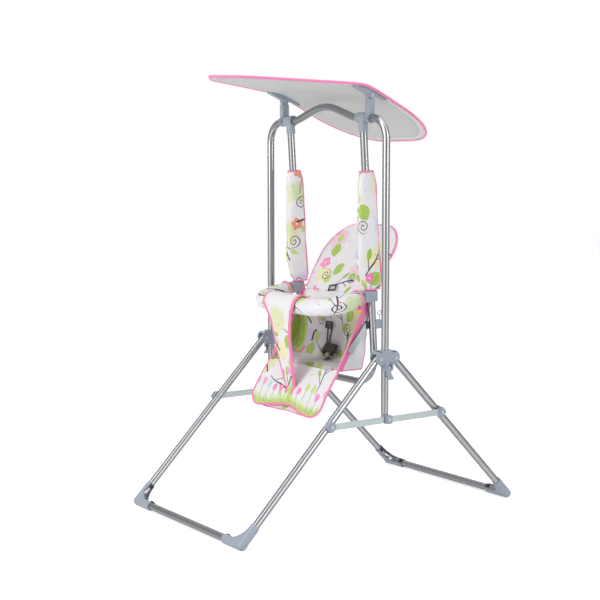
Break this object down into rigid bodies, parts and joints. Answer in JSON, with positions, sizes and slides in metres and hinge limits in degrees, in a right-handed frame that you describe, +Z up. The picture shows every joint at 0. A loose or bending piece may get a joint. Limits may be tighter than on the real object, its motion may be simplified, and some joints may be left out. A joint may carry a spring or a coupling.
{
  "type": "baby swing",
  "caption": "Folding baby swing on a bent tube hoop with four splayed legs, hung padded seat, bumper and canopy.",
  "frame": {"origin": "on the floor, midway between the four feet", "axes": "+Z up, -Y is the front, +X is the right side seen from the front"},
  "size_m": [0.642, 1.0028, 1.2731],
  "materials": {
    "tube_steel": "satin metallic paint on steel tube",
    "grey_plastic": "moulded, fine satin",
    "dark_plastic": "moulded, satin",
    "bright_steel": "bright plated",
    "link_steel": "pale satin paint on flat bar",
    "webbing": "black woven webbing",
    "canopy_cloth": "light grey woven cloth",
    "pink_binding": "rolled pink binding",
    "printed_cloth": null
  },
  "bodies": {
    "stand": {"hoop_tube": "tube_steel", "canopy_clamp_left": "grey_plastic", "canopy_clamp_right": "grey_plastic", "clamp_bolts": "bright_steel", "upright_clips": "grey_plastic", "upright_rivets": "bright_steel"},
    "hubs": {"hub_left": "grey_plastic", "hub_right": "grey_plastic", "leg_rivets": "bright_steel"},
    "latch_left": {"latch_lever_left": "grey_plastic"},
    "latch_right": {"latch_lever_right": "grey_plastic"},
    "front_legs": {"front_leg_frame": "tube_steel", "front_foot_left": "grey_plastic", "front_foot_right": "grey_plastic", "front_link_saddles": "grey_plastic", "front_foot_clips": "dark_plastic"},
    "rear_legs": {"rear_leg_frame": "tube_steel", "rear_foot_left": "grey_plastic", "rear_foot_right": "grey_plastic", "rear_link_saddles": "grey_plastic", "rear_foot_clips": "dark_plastic"},
    "front_link_pair": {"front_links": "link_steel", "front_link_covers": "grey_plastic", "front_link_rivets": "bright_steel"},
    "rear_link_pair": {"rear_links": "link_steel", "rear_link_covers": "grey_plastic", "rear_link_rivets": "bright_steel"},
    "canopy": {"canopy_cradle_left": "grey_plastic", "canopy_cradle_right": "grey_plastic", "canopy_bolts": "bright_steel", "canopy_shade": "canopy_cloth", "canopy_binding": "pink_binding"},
    "pull_left": {"pull_ring_left": "tube_steel"},
    "pull_right": {"pull_ring_right": "tube_steel"},
    "swing": {"backrest": "printed_cloth", "bumper_padding": "printed_cloth", "bumper_tube": "tube_steel", "calf_flap": "printed_cloth", "calf_panel": "printed_cloth", "hanger_tube_left": "tube_steel", "hanger_tube_right": "tube_steel", "harness": "webbing", "lower_back": "printed_cloth", "seat_bracket_left": "grey_plastic", "seat_bracket_right": "grey_plastic", "seat_pad": "printed_cloth", "seat_tube": "tube_steel", "side_panels": "printed_cloth", "sleeve_left": "printed_cloth", "sleeve_right": "printed_cloth", "slider_bolts": "dark_plastic", "slider_lugs": "grey_plastic", "strut_bars": "link_steel", "strut_clips": "dark_plastic", "swing_collar_left": "grey_plastic", "swing_collar_right": "grey_plastic", "t_strap": "printed_cloth"}
  },
  "joints": [
    {"name": "fold_slide", "type": "slide", "parent": "stand", "child": "hubs", "axis": [0, 0, 1], "range_m": [0, 0.269]},
    {"name": "front_leg_fold", "type": "hinge", "parent": "hubs", "child": "front_legs", "pos_m": [0, -0.028, 0.477], "axis": [1, 0, 0], "range_deg": [0, 42.72]},
    {"name": "rear_leg_fold", "type": "hinge", "parent": "hubs", "child": "rear_legs", "pos_m": [0, 0.028, 0.477], "axis": [1, 0, 0], "range_deg": [-42.72, 0]},
    {"name": "front_link_fold", "type": "hinge", "parent": "stand", "child": "front_link_pair", "pos_m": [0, 0, 0.302], "axis": [1, 0, 0], "range_deg": [-79.53, 0]},
    {"name": "rear_link_fold", "type": "hinge", "parent": "stand", "child": "rear_link_pair", "pos_m": [0, 0, 0.302], "axis": [1, 0, 0], "range_deg": [0, 79.53]},
    {"name": "swing_hinge", "type": "hinge", "parent": "stand", "child": "swing", "pos_m": [0, 0, 1.158], "axis": [1, 0, 0], "range_deg": [-30, 30]},
    {"name": "canopy_tilt", "type": "hinge", "parent": "stand", "child": "canopy", "pos_m": [0, 0, 1.22], "axis": [1, 0, 0], "range_deg": [-20, 25]},
    {"name": "latch_left_press", "type": "hinge", "parent": "hubs", "child": "latch_left", "pos_m": [-0.305, 0, 0.447], "axis": [0, 1, 0], "range_deg": [0, 15], "stiffness_Nm_per_rad": 0.2, "springref_deg": -5.73},
    {"name": "latch_right_press", "type": "hinge", "parent": "hubs", "child": "latch_right", "pos_m": [0.305, 0, 0.447], "axis": [0, -1, 0], "range_deg": [0, 15], "stiffness_Nm_per_rad": 0.2, "springref_deg": -5.73},
    {"name": "pull_left_slide", "type": "slide", "parent": "swing", "child": "pull_left", "axis": [0, 0.9978, 0.0663], "range_m": [0, 0.006], "stiffness_N_per_m": 200, "springref_m": -0.002},
    {"name": "pull_right_slide", "type": "slide", "parent": "swing", "child": "pull_right", "axis": [0, 0.9978, 0.0663], "range_m": [0, 0.006], "stiffness_N_per_m": 200, "springref_m": -0.002}
  ],
  "couplings": [
    {"joint": "front_leg_fold", "follows": "fold_slide", "rad_per_m": 2.7718},
    {"joint": "rear_leg_fold", "follows": "fold_slide", "rad_per_m": -2.7718},
    {"joint": "front_link_fold", "follows": "fold_slide", "rad_per_m": -5.1598},
    {"joint": "rear_link_fold", "follows": "fold_slide", "rad_per_m": 5.1598}
  ]
}
